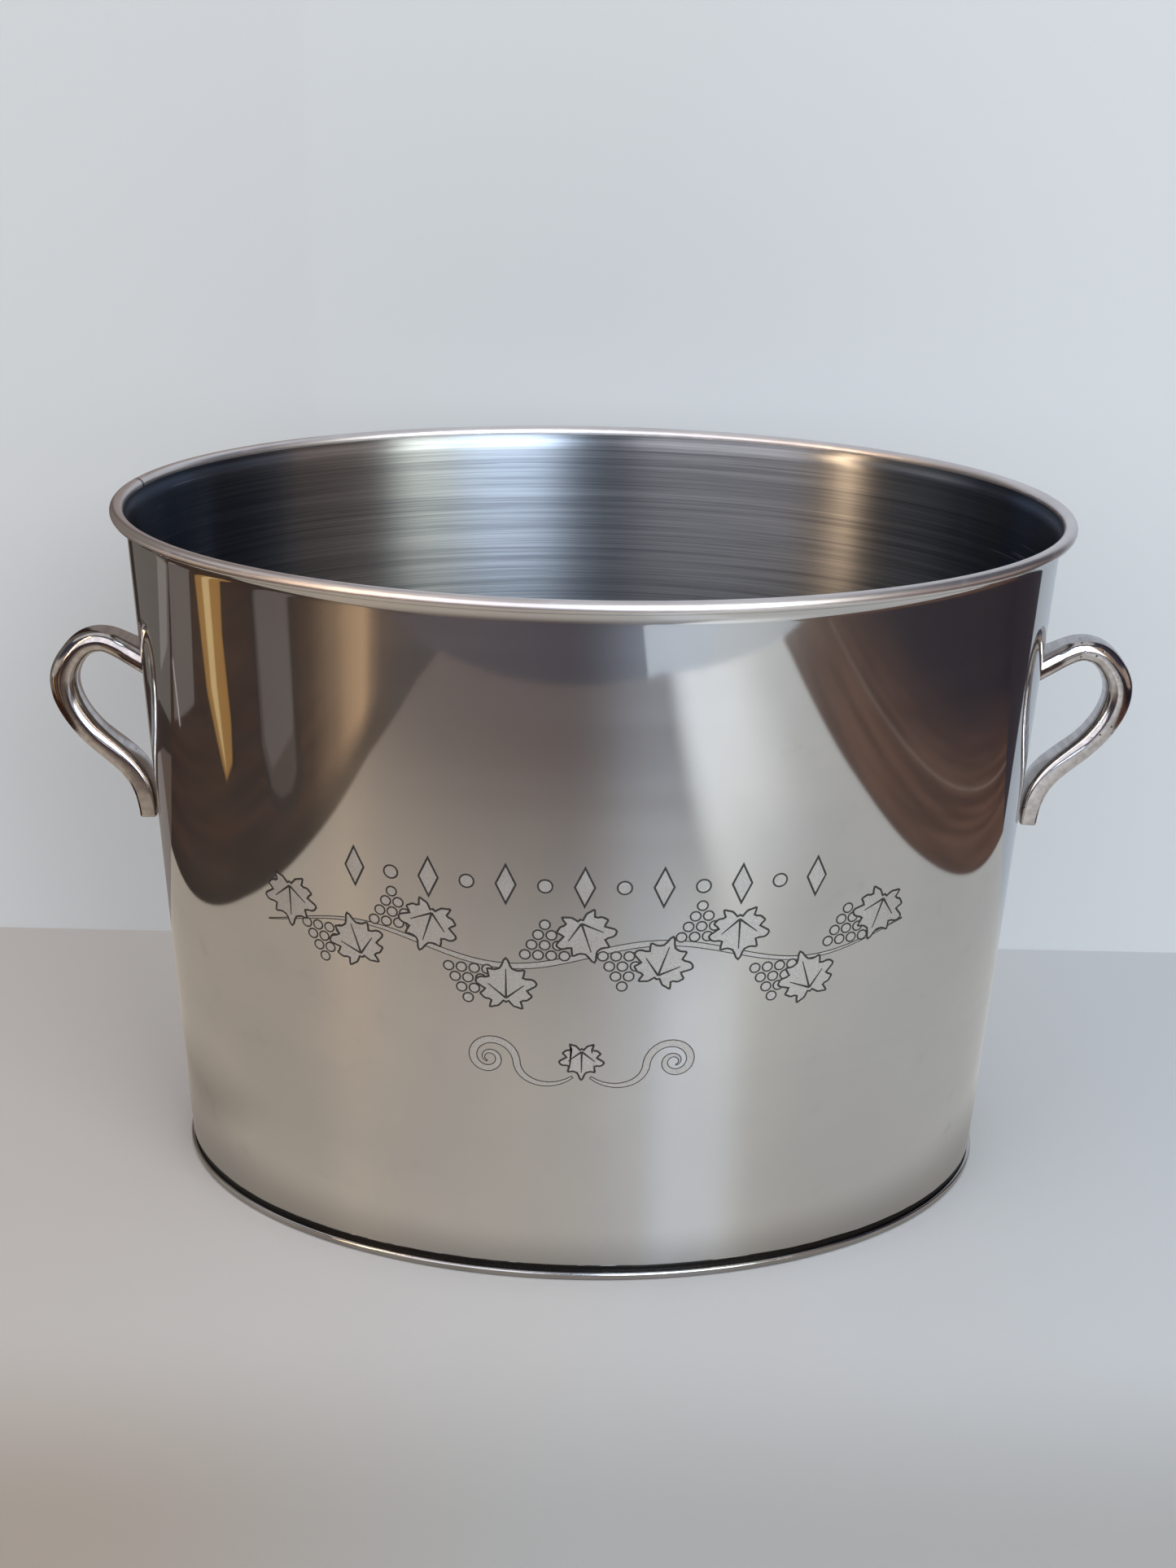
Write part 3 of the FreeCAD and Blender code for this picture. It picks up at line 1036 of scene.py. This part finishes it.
# Painted shadows: darker just left of the foot, and darker all round close to the foot.
painted_left_shadow = ring.between(1.0, 1.45, 0.75, 0.0) * x.between(-0.20, -0.165, 1.0, 0.0)
left_shadowed = board_finish.mix(painted_left_shadow, bright, tone(96, 88, 82))
painted_contact_shadow = board_finish.mix(ring.between(0.95, 1.18, 0.55, 0.0), left_shadowed, tone(90, 85, 80))
board_glow = board_finish.surface(
    board_finish.node("ShaderNodeEmission", {"Color": painted_contact_shadow})
)
board_edge = [(-355, 157), (-357, -100), (-345, -400), (-321, -535), (-299, -595), (136, -617)]
board_edge += [(391, -582), (396, -550), (408, -280), (402, 157)]
flat_card("board_for_steel", at_height(board_edge, 0.5), board_glow)
print("board outline has", len(board_edge), "corners")

# %% Bench with its streak of light
bench_finish = Finish("bench seen in the steel")
x, y = bench_finish.axes()[:2]
bearing = bench_finish.node("ShaderNodeMath", {0: -0.06 - y, 1: -0.10 - x}, operation="ARCTAN2")
grain_lines = bench_finish.speckle(bench_finish.stretched(60.0, 4.0, 1.0), 1.0, 3.0)
wood = bench_finish.mix(grain_lines.between(0.35, 0.65), tone(46, 27, 19), tone(66, 42, 30))
HALO = [(0.0, 0.0), (38.0, 0.0), (45.0, 0.2), (49.0, 0.7), (52.0, 1.0), (54.5, 0.25), (56.5, 0.0)]
halo = bench_finish.node(
    "ShaderNodeValToRGB",
    {0: bearing / math.radians(90.0)},
    stops=[(angle / 90.0, (share, share, share, 1.0)) for angle, share in HALO],
)
streaked = bench_finish.mix(halo, wood, tone(184, 150, 116))
near_board = bench_finish.mix(x.between(-0.40, -0.36), streaked, tone(30, 16, 10))
bench_glow = bench_finish.surface(
    bench_finish.node("ShaderNodeEmission", {"Color": near_board})
)
flat_card("bench_left", lying(-1600, -1300, -290, 157, 0.2), bench_glow)
print("the streak is brightest", max(HALO, key=lambda stop: stop[1])[0], "degrees round")

# %% Right side and the front
right_finish = Finish("right side seen in the steel")
x = right_finish.axes()[0]
grain_lines = right_finish.speckle(right_finish.stretched(60.0, 4.0, 1.0), 1.0, 3.0)
wood = right_finish.mix(grain_lines.between(0.35, 0.65), tone(78, 53, 43), tone(106, 78, 65))
dim = right_finish.mix(x.between(0.47, 0.66), wood, tone(38, 34, 46))
seam = abs(x - 0.506).between(0.0, 0.003, 1.0, 0.0)
lined = right_finish.mix(seam * 0.8, dim, tone(150, 136, 128))
right_glow = right_finish.surface(right_finish.node("ShaderNodeEmission", {"Color": lined}))
flat_card("bench_right", lying(380, -1500, 2500, 157, 0.2), right_glow)
glow_card("dark_front", lying(-1500, -3000, 110, -590, 0.35), 52, 40, 50)
glow_card("light_front", lying(110, -3000, 520, -580, 0.35), 186, 192, 202)
print("right side and front ready")

# %% Bottle, gilt and grey steel on the bench
bottle_end = [(-500, -206), (-424, -204), (-404, -222), (-400, -250), (-412, -278), (-450, -300)]
bottle_end += [(-760, -500), (-900, -350)]
glow_card("bottle_rim", at_height(bottle_end, 0.6), 40, 30, 27)
inner_end = [(-500, -214), (-440, -212), (-422, -226), (-418, -250), (-430, -272), (-456, -288)]
inner_end += [(-770, -480), (-900, -368)]
glow_card("bottle", at_height(inner_end, 0.7), 84, 74, 70)
label_edge = [(-462, -224), (-474, -292), (-500, -312), (-790, -480), (-890, -372), (-500, -224)]
glow_card("bottle_label", at_height(label_edge, 0.8), 108, 100, 98)
gold_edge = [(-490, -96), (-508, -122), (-560, -136), (-700, -150), (-900, -205), (-1100, -250)]
gold_edge += [(-1100, -40), (-900, -36), (-620, -56)]
gold_shade = [(x * 0.99, y + (8 if y > -100 else -10)) for x, y in gold_edge]
gold_highlight_outline = [(-500, -100), (-620, -100), (-1100, -150), (-1100, -90), (-620, -76)]
grey_edge = [(-554, 130), (-600, 10), (-900, -10), (-900, 150)]
grey_shine = [(-554, 98), (-650, 137), (-652, 131), (-556, 91)]
glow_card("gold_shadow", at_height(gold_shade, 0.55), 34, 24, 20)
glow_card("gold_streak", at_height(gold_edge, 0.6), 176, 130, 68)
# Painted highlight: the bright middle of the gilt object.
glow_card("gold_highlight", at_height(gold_highlight_outline, 0.7), 232, 200, 142)
glow_card("grey_steel", at_height(grey_edge, 0.6), 116, 108, 104)
# Painted highlight: a pale streak along the grey steel.
glow_card("grey_steel_highlight", at_height(grey_shine, 0.7), 210, 205, 204)
print("bottle outline has", len(bottle_end), "corners")

# %% Wall behind, and a grey steel pot in front of its left end
WALL_TOP = 1200
glow_card("wall_for_steel_left", upright(-1600, -355, 156, WALL_TOP), 104, 88, 80)
pot_edge = [(-1600, 0), (-540, 0), (-410, 64), (-345, 88), (-292, 112)]
outline_edge = [(-1600, 0), (-490, 0), (-385, 46), (-318, 66), (-246, 92)]
light_edge = [(-1600, 0), (-620, 20), (-470, 60), (-1600, 260)]
for name, edge, y, colour in (
    ("grey_steel_back", pot_edge + [(-292, WALL_TOP), (-1600, WALL_TOP)], 155, (112, 107, 102)),
    ("steel_outline", outline_edge + [(-246, WALL_TOP), (-1600, WALL_TOP)], 155.5, (48, 35, 31)),
    ("grey_steel_light", light_edge, 154, (150, 144, 142)),
):
    glow_card(name, [(x, y, z) for x, z in edge], *colour)
glow_card("wall_for_steel_shade", upright(-355, -120, 156, WALL_TOP), 142, 134, 131)
glow_card("wall_for_steel", upright(-120, 406, 156, WALL_TOP), 188, 198, 210)
glow_card("wall_for_steel_right", upright(406, 1600, 156, WALL_TOP), 50, 44, 52)
print("wall cards stand", WALL_TOP, "mm tall")

# %% [markdown]
# ## Windows and the room
#
# The brushed inside spreads each light into a tall band, so what counts is the bearing at which
# it stands: two windows right of the front, a brown curtain past them, a grey room on the left
# and a narrow warm strip at its edge. Low pale cards at both ends keep the rolled rim light.


# %% Windows and room for the steel
def standing_card(name, first, last, low, high, colour, strength, distance=1400.0):
    """An upright card between two bearings, seen from the bucket: 0 is the front, 90 the right."""
    ends = []
    for bearing in (first, last):
        angle = math.radians(bearing)
        ends.append((distance * math.sin(angle), -distance * math.cos(angle)))
    base_z = distance * math.tan(math.radians(low))
    top_z = distance * math.tan(math.radians(high))
    (ax, ay), (bx, by) = ends
    corners = [(ax, ay, base_z), (bx, by, base_z), (bx, by, top_z), (ax, ay, top_z)]
    return glow_card(name, corners, *colour, strength)


standing_card("window_blue", 5.5, 21, 6, 55, (206, 226, 250), 8.5)
standing_card("window_green", 22, 33, 6, 50, (226, 234, 226), 6.8)
standing_card("curtain_brown", 34, 60, 5, 45, (148, 128, 116), 1.3)
standing_card("room_grey", -37, -6, 5, 50, (190, 190, 198), 2.8)
standing_card("warm_strip", -46.2, -44.0, 5, 50, (255, 222, 182), 21.0)
standing_card("glow_left", -135, -55, 0.1, 12, (196, 191, 184), 1.0)
standing_card("glow_right", 62, 135, 0.1, 14, (176, 160, 152), 1.0)
glow_card("ceiling", lying(-2800, -700, 900, 900, 1700), 204, 206, 210)

# %% Light and sky
world = bpy.data.worlds.new("room")
bpy.context.scene.world = world
world.use_nodes = True
tree = world.node_tree
tree.nodes.clear()
ambient = tree.nodes.new("ShaderNodeBackground")
ambient.inputs["Color"].default_value = tone(228, 232, 238)
ambient.inputs["Strength"].default_value = 0.80
for_steel = tree.nodes.new("ShaderNodeBackground")
for_steel.inputs["Color"].default_value = tone(58, 64, 82)
path = tree.nodes.new("ShaderNodeLightPath")
blend = tree.nodes.new("ShaderNodeMixShader")
out = tree.nodes.new("ShaderNodeOutputWorld")
tree.links.new(path.outputs["Is Glossy Ray"], blend.inputs[0])
tree.links.new(ambient.outputs[0], blend.inputs[1])
tree.links.new(for_steel.outputs[0], blend.inputs[2])
tree.links.new(blend.outputs[0], out.inputs["Surface"])


def soft_light(name, place, aim, size, power, colour):
    data = bpy.data.lights.new(name, "AREA")
    data.shape, data.size, data.energy, data.color = "SQUARE", size, power, colour
    lamp = bpy.data.objects.new(name, data)
    lamp.matrix_world = Matrix.Translation(place) @ (
        (Vector(aim) - Vector(place)).to_track_quat("-Z", "Y").to_matrix().to_4x4()
    )
    bpy.context.scene.collection.objects.link(lamp)
    lamp.visible_glossy = False
    return lamp


soft_light("window_light", (1.0, -1.5, 1.5), (0, 0, 0.1), 1.2, 14.0, (0.92, 0.97, 1.0))
soft_light("fill_light", (-1.4, -1.0, 1.4), (0, 0, 0.1), 1.4, 5.0, (1.0, 0.95, 0.9))
bpy.context.scene.view_settings.view_transform = "Standard"
